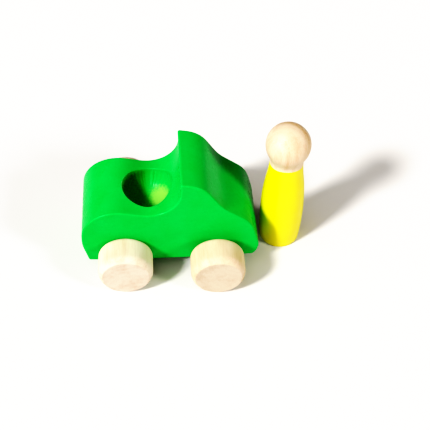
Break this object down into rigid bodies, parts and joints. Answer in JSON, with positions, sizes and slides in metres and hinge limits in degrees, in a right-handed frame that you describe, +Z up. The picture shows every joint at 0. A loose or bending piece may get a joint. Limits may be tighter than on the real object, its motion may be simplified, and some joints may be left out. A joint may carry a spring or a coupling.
{
  "type": "wooden toy car with peg driver",
  "caption": "Small open wooden toy car with a gloss-painted block body, a round seat hole, plain wood wheels on turning dowels and a loose turned peg driver.",
  "frame": {"origin": "on the floor under the middle of the whole toy's bounding box, the car and its driver standing beside it", "axes": "+X runs from the car's tail to its nose and on to the driver, +Y to the car's left side, +Z up"},
  "size_m": [0.0996, 0.0654, 0.0688],
  "materials": {
    "green_lacquer": "wood under a bright green semi-gloss lacquer, thinner and showing wood in the seat hole",
    "natural_maple": "bare pale wood, turned and sanded smooth, with growth-ring and grain lines",
    "dowel_birch": "bare dowel, long grain, matt",
    "yellow_painted_peg": "turned wood, the body dipped in bright yellow paint, head and neck left bare"
  },
  "bodies": {
    "car": {"car_body": "green_lacquer"},
    "front_wheelset": {"front_axle": "dowel_birch", "front_right_wheel": "natural_maple", "front_left_wheel": "natural_maple"},
    "rear_wheelset": {"rear_axle": "dowel_birch", "rear_right_wheel": "natural_maple", "rear_left_wheel": "natural_maple"},
    "driver": {"driver_peg": "yellow_painted_peg"}
  },
  "joints": [
    {"name": "front_axle_spin", "type": "hinge", "parent": "car", "child": "front_wheelset", "pos_m": [0.00928, 0, 0.012], "axis": [0, 1, 0], "continuous": true},
    {"name": "rear_axle_spin", "type": "hinge", "parent": "car", "child": "rear_wheelset", "pos_m": [-0.03122, 0, 0.012], "axis": [0, 1, 0], "continuous": true},
    {"name": "driver_lift", "type": "slide", "parent": "car", "child": "driver", "axis": [0, 0, 1], "range_m": [0, 0.08]}
  ]
}
